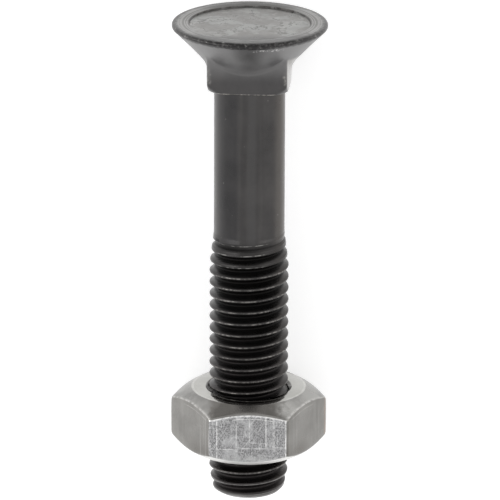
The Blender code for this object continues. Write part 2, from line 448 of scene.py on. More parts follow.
SHANK_SCALE = ((0.056, 0.054, 0.054), (0.072, 0.069, 0.068))
DRAWN_STREAK = (0.10, 0.096, 0.093)
# Painted light on the shank: a warm sheen on the right, and a dark and a pale reflection band
WARM_SHEEN_SIDE = (0.088, 0.074, 0.060)
DARK_REFLECTION_BAND = (0.034, 0.034, 0.036)
PALE_REFLECTION_BAND = (0.088, 0.086, 0.086)
SHANK_SPECK = (0.18, 0.175, 0.17)
NECK_SCALE = ((0.067, 0.065, 0.066), (0.084, 0.081, 0.081))
CONE_SCALE = ((0.175, 0.173, 0.173), (0.22, 0.217, 0.217))
FILLET_HIGHLIGHT = (0.16, 0.157, 0.155)
RIGHT_FLAT_SHEEN = ((0.30, 0.290, 0.276), (0.24, 0.231, 0.218))
SHEEN_SMUDGE = (0.16, 0.153, 0.144)
RUBBED_LOW_EDGE = (0.45, 0.43, 0.40)
RUBBED_CORNER = (0.33, 0.32, 0.30)
THREAD_SCALE = (0.03, 0.0285, 0.028)
ROOT_SHADE = (0.007, 0.0066, 0.0064)
THREAD_DUST = (0.045, 0.040, 0.040)
CREST_WEAR_AND_HIGHLIGHT = (0.24, 0.228, 0.215)
RUNOUT_HIGHLIGHT = (0.46, 0.45, 0.43)
RUNOUT_PIT = (0.006, 0.006, 0.006)
LAST_CREST_HIGHLIGHT = (0.34, 0.33, 0.32)
TAIL_END = ((0.15, 0.146, 0.142), (0.23, 0.225, 0.22))
DISC = ((0.182, 0.177, 0.169), (0.28, 0.278, 0.269))
LIFTED_SCALE = (0.305, 0.313, 0.305)
THICK_SCALE = (0.15, 0.142, 0.133)
DISC_VEIN = (0.06, 0.056, 0.052)
DARK_STAIN = (0.10, 0.095, 0.089)
PALE_STAIN = (0.36, 0.345, 0.335)
TURNED_RING = ((0.145, 0.142, 0.136), (0.27, 0.266, 0.26))
RING_STAIN = (0.09, 0.086, 0.082)
SHADED_RING = ((0.060, 0.0585, 0.057), (0.095, 0.0925, 0.090))
RECESS_SHADE = (0.022, 0.020, 0.019)
RECESS_LIP_HIGHLIGHT = (0.26, 0.255, 0.25)
LAND_SCALE_AND_SHEEN = ((0.022, 0.021, 0.0215), (0.048, 0.047, 0.047))
LAND_WEAR = (0.10, 0.097, 0.095)
LAND_DENT = (0.22, 0.215, 0.21)
CONE_SCRAPE = (0.70, 0.695, 0.685)

# Tones of the nut

SIDE_FLAT = ((0.175, 0.170, 0.160), (0.235, 0.229, 0.217))
FLAT_STREAK = (0.31, 0.303, 0.29)
DULL_CORNER = (0.115, 0.107, 0.096)
FAINT_LINE = (0.42, 0.41, 0.395)
WORN_FLAT = ((0.150, 0.149, 0.151), (0.380, 0.378, 0.380))
WORN_PATCH = (0.52, 0.52, 0.525)
WORN_FLECK = (0.60, 0.60, 0.605)
SCRATCH = (0.72, 0.72, 0.72)
SPANNER_LINE = (0.82, 0.815, 0.81)
CROSS_LINE = (0.78, 0.78, 0.775)
LOW_RUB = (0.50, 0.50, 0.495)
RUBBED_BAND = (0.70, 0.70, 0.70)
SECOND_EDGE_HIGHLIGHT = (0.78, 0.775, 0.76)
SIDE_LINE_HIGHLIGHT = (0.50, 0.49, 0.475)
END_FACE = ((0.42, 0.415, 0.39), (0.52, 0.515, 0.49))
CHAMFER = ((0.33, 0.325, 0.312), (0.22, 0.216, 0.208))
FRONT_CHAMFER_SHADE = ((0.105, 0.100, 0.093), (0.15, 0.143, 0.134))
FRONT_CHAMFER_MIDDLE = (0.21, 0.20, 0.188)
FACE_LINE = (0.70, 0.69, 0.665)
LOW_CHAMFER = ((0.66, 0.655, 0.64), (0.73, 0.725, 0.71))
SIDE_EDGE_HIGHLIGHT = (0.70, 0.69, 0.67)
FRONT_EDGE_HIGHLIGHT = (0.80, 0.795, 0.78)
BORE_SHADE = (0.13, 0.125, 0.12)
WARM_SHEEN_CORNER = (0.34, 0.26, 0.205)

# Marks on the nut's flats, in mm: across is from the bolt's axis, depth from the upper face

# Lines on the side flats: across, depth of the middle, half the length
FAINT_LINES = (
    (-5.3, 4.2, 2.2),
    (-5.6, 3.2, 1.8),
    (-5.95, 5.0, 1.6),
    (8.75, 3.8, 1.6),
)

# Lines down the worn flat: across, half the width, depth of the middle, half the length, strength
SPANNER_LINES = (
    (-4.98, 0.05, 5.4, 2.3, 0.8),
    (-3.92, 0.04, 4.2, 3.2, 0.9),
    (-1.51, 0.07, 3.9, 1.7, 0.4),
    (0.10, 0.02, 3.0, 1.3, 0.75),
    (2.15, 0.04, 3.2, 2.0, 0.85),
    (3.13, 0.10, 3.0, 2.6, 0.35),
    (4.60, 0.06, 4.4, 3.3, 0.95),
)

# Lines across the worn flat: across to the middle, depth, half the length
CROSS_LINES = ((-2.75, 5.42, 1.1), (0.75, 5.3, 1.5))

# Fine scratches of the worn flat: degrees from the bolt's axis and scale
SCRATCHES = ((4.0, 8200.0), (38.0, 9000.0), (-33.0, 8600.0), (84.0, 8000.0))


# Materials

class Finish:
    """A metal, with short ways to add nodes to it and places in upright coordinates."""

    RELIEF = 0.02 * MM
    RELIEF_STRENGTH = 0.35

    def __init__(self, name):
        self.material = bpy.data.materials.new(name)
        self.material.use_nodes = True
        self.tree = self.material.node_tree
        self.principled = self.tree.nodes["Principled BSDF"]
        self.principled.inputs["Metallic"].default_value = 1.0
        coordinates = self.tree.nodes.new("ShaderNodeTexCoord")
        centre = self.tree.nodes.new("ShaderNodeMapping")
        centre.vector_type = "TEXTURE"
        centre.inputs["Location"].default_value = (0, AXIS_SHIFT, AXIS_HEIGHT)
        centre.inputs["Rotation"].default_value = (TILT - math.pi / 2, 0, 0)
        self.link(coordinates.outputs["Object"], centre.inputs["Vector"])
        self.upright = centre.outputs["Vector"]
        split = self.tree.nodes.new("ShaderNodeSeparateXYZ")
        self.link(self.upright, split.inputs[0])
        self.x, self.y, self.z = split.outputs
        squares = self.plus(self.times(self.x, self.x), self.times(self.y, self.y))
        self.radius = self.math("SQRT", squares)
        self.tone = None

    def link(self, output, target):
        self.tree.links.new(output, target)

    def put(self, value, socket):
        if isinstance(value, (int, float)):
            socket.default_value = value
        else:
            self.link(value, socket)

    def math(self, operation, first, second=None):
        node = self.tree.nodes.new("ShaderNodeMath")
        node.operation = operation
        self.put(first, node.inputs[0])
        if second is not None:
            self.put(second, node.inputs[1])
        return node.outputs[0]

    def plus(self, first, second):
        return self.math("ADD", first, second)

    def minus(self, first, second):
        return self.math("SUBTRACT", first, second)

    def times(self, *factors):
        product = factors[0]
        for factor in factors[1:]:
            product = self.math("MULTIPLY", product, factor)
        return product

    def larger(self, first, second):
        return self.math("MAXIMUM", first, second)

    def size(self, value):
        return self.math("ABSOLUTE", value)

    def outside(self, mask):
        return self.math("SUBTRACT", 1.0, mask)

    def ramp(self, value, low, high, out_low=0.0, out_high=1.0):
        """From one output to the other as the value goes from low to high, eased at both."""
        node = self.tree.nodes.new("ShaderNodeMapRange")
        node.interpolation_type = "SMOOTHSTEP"
        node.inputs["From Min"].default_value = low
        node.inputs["From Max"].default_value = high
        node.inputs["To Min"].default_value = out_low
        node.inputs["To Max"].default_value = out_high
        self.link(value, node.inputs["Value"])
        return node.outputs["Result"]

    def stripe(self, value, middle, half_width, soft):
        """One within half_width of the middle, fading to nothing over soft."""
        off = self.size(self.minus(value, middle))
        return self.ramp(off, half_width, half_width + soft, 1.0, 0.0)

    def noise(self, vector, scale, detail, roughness):
        node = self.tree.nodes.new("ShaderNodeTexNoise")
        node.inputs["Scale"].default_value = scale
        node.inputs["Detail"].default_value = detail
        node.inputs["Roughness"].default_value = roughness
        self.link(vector, node.inputs["Vector"])
        return node.outputs["Fac"]

    def drawn_out(self, vector, share):
        """The same place, with patterns drawn out along the bolt's axis."""
        node = self.tree.nodes.new("ShaderNodeMapping")
        node.inputs["Scale"].default_value = (1.0, 1.0, share)
        self.link(vector, node.inputs["Vector"])
        return node.outputs["Vector"]

    def mix(self, factor, first, second):
        node = self.tree.nodes.new("ShaderNodeMix")
        node.data_type = "RGBA"
        self.put(factor, node.inputs[0])
        for value, socket in ((first, node.inputs[6]), (second, node.inputs[7])):
            if isinstance(value, tuple):
                socket.default_value = (*value, 1.0)
            else:
                self.link(value, socket)
        return node.outputs[2]

    def between(self, value, low, high, tones):
        """From the first of two tones to the second as the value goes from low to high."""
        return self.mix(self.ramp(value, low, high), *tones)

    def lay(self, mask, tone):
        """Lays a tone over the finish so far, where the mask is one."""
        self.tone = self.mix(mask, self.tone, tone)

    def connect(self, roughness, relief):
        bump = self.tree.nodes.new("ShaderNodeBump")
        bump.inputs["Distance"].default_value = self.RELIEF
        bump.inputs["Strength"].default_value = self.RELIEF_STRENGTH
        self.link(relief, bump.inputs["Height"])
        self.link(bump.outputs["Normal"], self.principled.inputs["Normal"])
        self.link(roughness, self.principled.inputs["Roughness"])
        self.link(self.tone, self.principled.inputs["Base Color"])


class BlackSteel(Finish):
    """Thin black scale from hardening, rubbed lighter on crests and edges, with painted light and shade
    laid over it in places.
    """

    def __init__(self):
        super().__init__("Black hardened steel")
        self.blotch = self.noise(self.upright, 210.0, 4.0, 0.6)
        self.smudge = self.noise(self.upright, 330.0, 4.0, 0.6)
        self.stain = self.noise(self.upright, 800.0, 4.0, 0.65)
        self.speck = self.noise(self.upright, 1700.0, 2.0, 0.5)
        self.fine = self.noise(self.upright, 2600.0, 3.0, 0.6)
        self.drawn = self.noise(self.drawn_out(self.upright, 0.05), 900.0, 2.0, 0.5)
        from_axis = self.tree.nodes.new("ShaderNodeCombineXYZ")
        self.link(self.radius, from_axis.inputs[0])
        self.rings = self.noise(from_axis.outputs[0], 3600.0, 2.0, 0.5)

        # The parts of the bolt, from the face of the head down to the roots of the thread
        self.face = self.ramp(self.z, -0.4 * MM, -0.3 * MM)
        self.on_ring = self.ramp(self.radius, RECESS_RADIUS, RECESS_RADIUS + 0.05 * MM)
        self.cone = self.ramp(self.z, -6.6 * MM, -2.6 * MM)
        self.neck = self.ramp(self.z, -NECK_END, -NECK_END + 0.2 * MM)
        self.threaded = self.ramp(self.z, -28.4 * MM, -26.2 * MM, 1.0, 0.0)
        self.plain = self.outside(self.larger(self.neck, self.threaded))
        deep = self.ramp(self.radius, ROOT_RADIUS + 0.1 * MM, ROOT_RADIUS + 0.45 * MM, 1.0, 0.0)
        self.root = self.times(self.threaded, deep)

        self.lay_shank()
        self.lay_cone_and_neck()
        self.lay_neck_sheen_and_rubs()
        self.lay_thread()
        self.lay_runout_and_tail()
        self.lay_head_face()
        self.lay_land()
        self.set_surface()

    def from_crest(self):
        """Distance along the axis to the nearest crest of the thread, as the function above."""
        turns = self.math("DIVIDE", self.minus(self.times(self.z, -1.0), FIRST_CREST), PITCH)
        turned = self.times(self.math("ARCTAN2", self.y, self.x), 0.5 / math.pi)
        turns = self.plus(turns, turned)
        whole = self.math("FLOOR", self.plus(turns, 0.5))
        return self.times(self.minus(turns, whole), PITCH)

    def lay_shank(self):
        """Even scale with streaks from drawing, painted reflection bands and a painted warm sheen on the
        right.
        """
        self.tone = self.between(self.blotch, 0.3, 0.7, SHANK_SCALE)
        self.lay(self.ramp(self.drawn, 0.5, 0.75, 0.0, 0.3), DRAWN_STREAK)
        # Painted warm sheen, lighter towards the right edge of the shank
        self.lay(self.ramp(self.x, 2.6 * MM, SHANK_RADIUS, 0.0, 0.5), WARM_SHEEN_SIDE)
        # Painted reflection bands along the shank: a dark one left of the middle, a pale one at the middle
        self.lay(self.times(self.stripe(self.x, -2.5 * MM, 0.7 * MM, 0.8 * MM), 0.5), DARK_REFLECTION_BAND)
        self.lay(self.times(self.stripe(self.x, 0.3 * MM, 0.2 * MM, 0.6 * MM), 0.5), PALE_REFLECTION_BAND)

    def lay_cone_and_neck(self):
        """Thinner scale on the cone and the neck, with a painted highlight line where the fillet ends."""
        self.lay(self.neck, self.between(self.blotch, 0.3, 0.7, NECK_SCALE))
        self.lay(self.cone, self.between(self.blotch, 0.3, 0.7, CONE_SCALE))
        inside_cone = self.minus(self.plus(self.z, HEAD_RADIUS + LAND_HEIGHT), self.radius)
        # Painted highlight along the end of the fillet, on the front of the neck only
        fillet_end = self.stripe(inside_cone, -0.48 * MM, 0.03 * MM, 0.12 * MM)
        in_front = self.ramp(self.y, -4.5 * MM, -4.0 * MM, 0.4, 0.0)
        self.lay(self.times(self.neck, fillet_end, in_front), FILLET_HIGHLIGHT)

    def lay_neck_sheen_and_rubs(self):
        """A painted sheen on the neck's right flat, and its lower edge and corners rubbed where they were
        gripped.
        """
        cos_turn = math.cos(NECK_TURN)
        sin_turn = math.sin(NECK_TURN)
        turned_x = self.plus(self.times(self.x, cos_turn), self.times(self.y, sin_turn))
        turned_y = self.minus(self.times(self.y, cos_turn), self.times(self.x, sin_turn))
        # Painted sheen: the right flat below the cone is painted lighter, with darker smudges in it
        right_flat = self.ramp(turned_x, NECK_HALF - 0.16 * MM, NECK_HALF - 0.06 * MM)
        below_cone = self.ramp(self.z, -3.8 * MM, -3.1 * MM, 1.0, 0.0)
        self.sheen_side = self.times(self.neck, right_flat, below_cone)
        side_tone = self.between(self.fine, 0.40, 0.62, RIGHT_FLAT_SHEEN)
        side_tone = self.mix(self.ramp(self.smudge, 0.50, 0.66, 0.0, 0.4), side_tone, SHEEN_SMUDGE)
        self.lay(self.sheen_side, side_tone)

        low_edge = self.stripe(self.z, -NECK_END + 0.05 * MM, 0.05 * MM, 0.08 * MM)
        to_flat = self.larger(self.size(turned_x), self.size(turned_y))
        low_edge = self.times(low_edge, self.ramp(to_flat, NECK_HALF - 0.35 * MM, NECK_HALF - 0.20 * MM))
        self.lay(self.times(low_edge, self.ramp(self.fine, 0.42, 0.62, 0.2, 0.9)), RUBBED_LOW_EDGE)

        corners = self.times(self.neck, self.ramp(self.radius, 6.50 * MM, 6.75 * MM))
        corners = self.times(corners, self.stripe(self.z, -5.6 * MM, 0.5 * MM, 0.6 * MM))
        self.lay(self.times(corners, self.ramp(self.speck, 0.5, 0.66, 0.1, 0.7)), RUBBED_CORNER)

    def lay_thread(self):
        """Painted shade in the roots, dusty near the nut, and crests rubbed in places that also carry a
        painted highlight.

        The plain shank's specks come first, so that the thread's scale covers them.
        """
        self.lay(self.times(self.plain, self.ramp(self.speck, 0.72, 0.78, 0.0, 0.5)), SHANK_SPECK)
        self.lay(self.times(self.threaded, 0.75), THREAD_SCALE)
        # Painted shade: the thread's roots are painted near black
        self.lay(self.times(self.root, 0.92), ROOT_SHADE)
        above_nut = self.ramp(self.z, -44.0 * MM, -38.0 * MM, 0.33, 0.0)
        past_nut = self.ramp(self.z, -55.4 * MM, -54.8 * MM, 0.5, 0.0)
        self.lay(self.larger(above_nut, past_nut), THREAD_DUST)
        # Crests rubbed lighter in places, which also serves as a painted highlight along them
        crest = self.ramp(self.radius, CREST_RADIUS - 0.06 * MM, CREST_RADIUS - 0.015 * MM)
        patchy = self.ramp(self.noise(self.upright, 420.0, 2.0, 0.5), 0.42, 0.62, 0.3, 1.0)
        rubbed = self.times(self.threaded, crest, patchy, self.ramp(self.fine, 0.40, 0.66, 0.1, 0.8))
        self.lay(rubbed, CREST_WEAR_AND_HIGHLIGHT)

    def lay_runout_and_tail(self):
        """Broken painted highlight lines where the thread starts and on its last crest, and the tail's end.
        """
        # Painted highlights along the lower edge of the first crests, towards the middle of the front
        off_crest = self.from_crest()
        below_crest = self.ramp(self.z, -27.95 * MM, -27.85 * MM, 0.15 * MM, 0.45 * MM)
        starts = self.stripe(self.minus(off_crest, below_crest), 0.0, 0.02 * MM, 0.06 * MM)
        starts = self.times(starts, self.stripe(self.z, -28.8 * MM, 1.8 * MM, 0.3 * MM))
        starts = self.times(starts, self.stripe(self.x, -0.9 * MM, 2.3 * MM, 1.2 * MM))
        broken = self.ramp(self.noise(self.upright, 1300.0, 2.0, 0.5), 0.44, 0.62, 0.05, 0.5)
        self.lay(self.times(starts, broken), RUNOUT_HIGHLIGHT)

        pit = self.stripe(self.z, -27.35 * MM, 0.12 * MM, 0.12 * MM)
        pit = self.times(pit, self.stripe(self.x, -3.95 * MM, 0.15 * MM, 0.15 * MM))
        self.lay(self.times(pit, 0.8), RUNOUT_PIT)

        # Painted highlight along the lower edge of the last crest
        last = self.stripe(off_crest, 0.06 * MM, 0.02 * MM, 0.05 * MM)
        last = self.times(last, self.ramp(self.z, -57.4 * MM, -56.8 * MM, 0.6, 0.0))
        self.lay(self.times(last, self.ramp(self.fine, 0.35, 0.6, 0.4, 1.0)), LAST_CREST_HIGHLIGHT)
        tail = self.ramp(self.z, -LENGTH + 0.40 * MM, -LENGTH + 0.80 * MM, 0.9, 0.0)
        self.lay(tail, self.between(self.smudge, 0.35, 0.65, TAIL_END))

    def disc_tone(self):
        """The pressed disc, with flakes of lifted scale, veins and stains."""
        flake = self.noise(self.upright, 260.0, 3.0, 0.5)
        tone = self.between(self.smudge, 0.36, 0.64, DISC)
        tone = self.mix(self.ramp(flake, 0.53, 0.56, 0.0, 0.45), tone, LIFTED_SCALE)
        tone = self.mix(self.ramp(flake, 0.40, 0.44, 0.35, 0.0), tone, THICK_SCALE)
        vein = self.stripe(self.noise(self.upright, 520.0, 3.0, 0.6), 0.5, 0.010, 0.016)
        self.veined = self.times(vein, self.ramp(self.smudge, 0.46, 0.54))
        tone = self.mix(self.times(self.veined, 0.7), tone, DISC_VEIN)
        tone = self.mix(self.ramp(self.stain, 0.6, 0.7, 0.0, 0.5), tone, DARK_STAIN)
        return self.mix(self.ramp(self.stain, 0.33, 0.40, 0.4, 0.0), tone, PALE_STAIN)

    def lay_head_face(self):
        """Turned rings round the disc, with painted shade at the near side and on the ring's far side."""
        ring_tone = self.between(self.rings, 0.4, 0.6, TURNED_RING)
        ring_tone = self.mix(self.ramp(self.stain, 0.57, 0.67, 0.0, 0.6), ring_tone, RING_STAIN)
        face_tone = self.mix(self.on_ring, self.disc_tone(), ring_tone)
        # Painted shade: darker at the near side of the face and at the far side of the ring
        near_side = self.ramp(self.y, -6.7 * MM, -4.2 * MM, 0.95, 0.0)
        far_side = self.times(self.on_ring, self.ramp(self.y, 5.0 * MM, 7.0 * MM, 0.0, 0.7))
        shaded_tone = self.between(self.rings, 0.4, 0.6, SHADED_RING)
        self.lay(self.face, self.mix(self.larger(near_side, far_side), face_tone, shaded_tone))

        # Painted shade: a dark line in the corner of the recess
        recess_shade = self.stripe(self.radius, RECESS_RADIUS - 0.10 * MM, 0.04 * MM, 0.10 * MM)
        recess_shade = self.times(self.face, recess_shade, self.ramp(self.stain, 0.4, 0.6, 0.8, 0.5))
        self.lay(recess_shade, RECESS_SHADE)
        # Painted highlight on the rounded lip of the recess, on the near side
        lip_highlight = self.stripe(self.radius, RECESS_RADIUS + 0.16 * MM, 0.11 * MM, 0.10 * MM)
        lip_highlight = self.times(self.face, lip_highlight, self.ramp(self.y, -5.0 * MM, -2.5 * MM, 0.7, 0.0))
        self.lay(self.times(lip_highlight, self.ramp(self.stain, 0.4, 0.6, 1.0, 0.3)), RECESS_LIP_HIGHLIGHT)

    def lay_land(self):
        """Black below the ring and painted lighter towards the sides, with dents and nicks along it and a
        scrape on the cone.
        """
        ragged = self.ramp(self.speck, 0.3, 0.7, -0.10 * MM, 0.14 * MM)
        at_rim = self.ramp(self.plus(self.radius, ragged), HEAD_RADIUS - 0.75 * MM, HEAD_RADIUS - 0.40 * MM)
        high = self.ramp(self.plus(self.z, self.times(ragged, 0.6)), -0.88 * MM, -0.70 * MM)
        self.land = self.times(at_rim, high)
        # Dark scale, with a painted sheen that lightens it towards the left and right
        land_tone = self.between(self.size(self.x), 4.0 * MM, 8.0 * MM, LAND_SCALE_AND_SHEEN)
        land_tone = self.mix(self.ramp(self.fine, 0.45, 0.7, 0.0, 0.7), land_tone, LAND_WEAR)
        self.lay(self.times(self.land, 0.9), land_tone)
        self.lay(self.times(self.land, self.ramp(self.speck, 0.62, 0.72, 0.0, 0.7)), LAND_DENT)

        scrape = self.stripe(self.z, -1.10 * MM, 0.1 * MM, 0.12 * MM)
        scrape = self.times(scrape, self.stripe(self.x, 2.2 * MM, 1.6 * MM, 0.5 * MM))
        scrape = self.times(scrape, self.ramp(self.y, -1.0 * MM, 0.0, 1.0, 0.0))
        self.lay(self.times(scrape, self.ramp(self.fine, 0.5, 0.6), 0.85), CONE_SCRAPE)

    def set_surface(self):
        """Dullest in the roots, with turned rings, veins and dents in low relief."""
        roughness = self.ramp(self.blotch, 0.3, 0.7, 0.31, 0.40)
        roughness = self.minus(roughness, self.times(self.plain, 0.05))
        roughness = self.minus(roughness, self.times(self.threaded, 0.07))
        roughness = self.plus(roughness, self.times(self.cone, self.outside(self.face), 0.04))
        roughness = self.plus(roughness, self.times(self.root, 0.25))
        roughness = self.minus(roughness, self.times(self.sheen_side, 0.2))
        relief = self.plus(self.times(self.fine, 0.5), self.times(self.drawn, 0.2))
        relief = self.plus(relief, self.times(self.rings, self.face, self.on_ring))
        relief = self.minus(relief, self.times(self.veined, self.face, 0.8))
        relief = self.plus(relief, self.times(self.land, self.speck, 3.0))
        self.connect(roughness, relief)


class BareSteel(Finish):
    """Bare pressed steel: bright faces, duller flats and one flat scratched by spanners."""

    def __init__(self):
        super().__init__("Bare pressed steel")
        self.blotch = self.noise(self.upright, 250.0, 4.0, 0.6)
        self.fine = self.noise(self.upright, 2300.0, 4.0, 0.65)
        self.streak = self.noise(self.drawn_out(self.upright, 0.06), 1300.0, 3.0, 0.6)
        self.mottle = self.noise(self.drawn_out(self.upright, 0.6), 8500.0, 3.0, 0.6)
        self.broken = self.ramp(self.fine, 0.36, 0.58, 0.2, 0.95)
        self.find_places()
        self.lay_side_flats()
        self.lay_worn_flat()
        self.lay_lines_by_the_chamfer()
        self.lay_ends()
        self.lay_edges_and_bore()
        self.set_surface()

    def find_places(self):
        """How far in a point is from the upper face and the chamfer, and which part it is on."""
        self.side = self.size(self.x)
        self.from_top = self.minus(self.times(self.z, -1.0), NUT_START)
        nearest = self.math("MINIMUM", self.from_top, self.minus(NUT_HEIGHT, self.from_top))
        chamfer_radius = self.plus(self.times(nearest, 1 / NUT_CHAMFER_SLOPE), NUT_FACE_RADIUS)
        self.off_chamfer = self.minus(chamfer_radius, self.radius)

        half_y = self.times(self.y, 0.5)
        slanted_x = self.times(self.x, math.sqrt(3) / 2)
        right_pair = self.size(self.plus(half_y, slanted_x))
        left_pair = self.size(self.minus(half_y, slanted_x))
        across_flats = self.larger(self.size(self.y), self.larger(right_pair, left_pair))
        self.on_flat = self.ramp(across_flats, NUT_FLAT - 0.26 * MM, NUT_FLAT - 0.14 * MM)
        self.on_end = self.outside(self.on_flat)

        middle = NUT_HEIGHT / 2
        self.upper_half = self.ramp(self.from_top, middle - 0.1 * MM, middle + 0.1 * MM, 1.0, 0.0)
        self.lower_half = self.outside(self.upper_half)
        self.chamfered = self.ramp(self.radius, NUT_FACE_RADIUS - 0.02 * MM, NUT_FACE_RADIUS + 0.06 * MM)
        self.low_chamfer = self.times(self.lower_half, self.chamfered)

        worn = self.ramp(self.y, -NUT_FLAT + 0.14 * MM, -NUT_FLAT + 0.26 * MM, 1.0, 0.0)
        worn = self.times(worn, self.stripe(self.x, -0.19 * MM, 4.84 * MM, 0.06 * MM))
        below_edge = self.ramp(self.off_chamfer, 0.30 * MM, 0.40 * MM)
        self.worn = self.times(worn, self.larger(below_edge, self.lower_half))

    def lay_side_flats(self):
        """Streaked flats, duller low down near the front corners, with a few faint lines and a painted
        corner highlight.
        """
        self.tone = self.between(self.blotch, 0.3, 0.7, SIDE_FLAT)
        self.lay(self.ramp(self.streak, 0.5, 0.75, 0.0, 0.35), FLAT_STREAK)
        dull = self.ramp(self.from_top, 4.0 * MM, 6.8 * MM)
        dull = self.times(dull, self.ramp(self.side, 6.2 * MM, 8.2 * MM, 1.0, 0.0))
        dull = self.times(dull, self.ramp(self.blotch, 0.35, 0.6, 0.4, 1.0))
        self.lay(self.times(dull, 0.75), DULL_CORNER)
        for across, depth, reach in FAINT_LINES:
            line = self.stripe(self.x, across * MM, 0.02 * MM, 0.05 * MM)
            line = self.times(line, self.ramp(self.streak, 0.4, 0.6, 0.05, 0.4))
            line = self.times(line, self.stripe(self.from_top, depth * MM, reach * MM, 0.8 * MM))
            self.lay(line, FAINT_LINE)
        # A light line on the rounded corner by the worn flat, both worn and a painted highlight
        corner_highlight = self.stripe(self.x, 5.05 * MM, 0.05 * MM, 0.10 * MM)
        self.lay(self.times(corner_highlight, self.ramp(self.y, -8.6 * MM, -8.2 * MM, 0.35, 0.0)), FAINT_LINE)

    def scratches(self, degrees, scale):
        """Short fine marks at an angle to the bolt's axis, on the flat that faces up."""
        turn = self.tree.nodes.new("ShaderNodeMapping")
        turn.inputs["Rotation"].default_value = (0, math.radians(degrees), 0)
        self.link(self.upright, turn.inputs["Vector"])
        marks = self.noise(self.drawn_out(turn.outputs["Vector"], 0.06), scale, 1.0, 0.5)
        return self.ramp(marks, 0.64, 0.70)

    def lay_worn_flat(self):
        """The flat that faces up, with mottling, flecks, scratches and the spanner's lines."""
        patch = self.ramp(self.noise(self.upright, 520.0, 3.0, 0.6), 0.52, 0.66)
        tone = self.between(self.mottle, 0.36, 0.64, WORN_FLAT)
        tone = self.mix(self.times(patch, 0.5), tone, WORN_PATCH)
        fleck = self.ramp(self.noise(self.upright, 5200.0, 3.0, 0.6), 0.54, 0.62)
        off_middle = self.size(self.plus(self.x, 0.3 * MM))
        fleck = self.times(fleck, self.ramp(off_middle, 2.0 * MM, 3.4 * MM, 0.15, 0.6))
        tone = self.mix(fleck, tone, WORN_FLECK)
        for degrees, scale in SCRATCHES:
            tone = self.mix(self.times(self.scratches(degrees, scale), 0.4), tone, SCRATCH)
        for across, width, depth, reach, strength in SPANNER_LINES:
            line = self.stripe(self.x, across * MM, width * MM, 0.05 * MM)
            line = self.times(line, self.stripe(self.from_top, depth * MM, reach * MM, 0.25 * MM))
            tone = self.mix(self.times(line, self.broken, strength), tone, SPANNER_LINE)
        for across, depth, reach in CROSS_LINES:
            line = self.stripe(self.from_top, depth * MM, 0.02 * MM, 0.06 * MM)
            line = self.times(line, self.stripe(self.x, across * MM, reach * MM, 0.15 * MM))
            tone = self.mix(self.times(line, self.broken, 0.8), tone, CROSS_LINE)
        low_rub = self.ramp(self.from_top, 6.1 * MM, 6.9 * MM, 0.0, 0.6)
        low_rub = self.times(low_rub, self.ramp(self.mottle, 0.3, 0.6, 0.4, 1.0))
        self.lay(self.worn, self.mix(low_rub, tone, LOW_RUB))

    def lay_lines_by_the_chamfer(self):
        """A rubbed band and a second line on the worn flat, and a fainter line beside it; the lines are
        painted highlights.
        """
        band = self.ramp(self.off_chamfer, 0.70 * MM, 0.85 * MM, 0.55, 0.0)
        band = self.times(self.worn, self.upper_half, band)
        self.lay(self.times(band, self.ramp(self.mottle, 0.38, 0.58)), RUBBED_BAND)
        # Painted highlight lines by the rounded edge: one on the worn flat, a fainter one on the side flats
        second = self.stripe(self.off_chamfer, 1.12 * MM, 0.03 * MM, 0.09 * MM)
        second = self.times(second, self.stripe(self.x, 0.6 * MM, 2.3 * MM, 0.4 * MM))
        second = self.times(second, self.on_flat, self.upper_half, self.worn)
        self.lay(self.times(second, self.broken, 0.85), SECOND_EDGE_HIGHLIGHT)
        beside = self.stripe(self.off_chamfer, 0.92 * MM, 0.02 * MM, 0.09 * MM)
        beside = self.times(beside, self.stripe(self.side, 6.6 * MM, 1.2 * MM, 0.3 * MM))
        beside = self.times(beside, self.on_flat, self.upper_half, self.outside(self.worn))
        self.lay(self.times(beside, self.broken, 0.5), SIDE_LINE_HIGHLIGHT)

    def lay_ends(self):
        """Bright faces, chamfers with painted shade towards the front, and a bright lower chamfer."""
        stained = self.ramp(self.noise(self.upright, 260.0, 3.0, 0.5), 0.40, 0.66)
        wander = self.size(self.plus(self.x, 0.55 * MM))
        wander = self.plus(wander, self.ramp(self.blotch, 0.3, 0.7, -0.8 * MM, 0.8 * MM))
        # Painted shade: the chamfers are darker towards the front and less so in the middle, varied by
        # stains
        in_front = self.ramp(self.y, -5.6 * MM, -4.4 * MM, 1.0, 0.0)
        in_front = self.times(in_front, self.ramp(wander, 4.0 * MM, 5.4 * MM, 1.0, 0.0))
        front_tone = self.between(stained, 0.2, 0.8, FRONT_CHAMFER_SHADE)
        front_tone = self.mix(self.ramp(self.side, 1.0 * MM, 2.6 * MM, 0.5, 0.0), front_tone, FRONT_CHAMFER_MIDDLE)
        chamfer_tone = self.mix(in_front, self.mix(stained, *CHAMFER), front_tone)

        tone = self.mix(self.chamfered, self.between(self.blotch, 0.3, 0.7, END_FACE), chamfer_tone)
        rim = self.stripe(self.radius, NUT_FACE_RADIUS, 0.02 * MM, 0.06 * MM)
        tone = self.mix(self.times(rim, self.ramp(self.fine, 0.35, 0.6, 0.1, 0.5)), tone, FACE_LINE)
        tone = self.mix(self.low_chamfer, tone, self.between(self.fine, 0.35, 0.65, LOW_CHAMFER))
        self.lay(self.on_end, tone)

    def lay_edges_and_bore(self):
        """Edges rubbed by a spanner and other nuts and painted brighter as highlights, painted shade in the
        bore and a painted warm sheen on the right corner.
        """
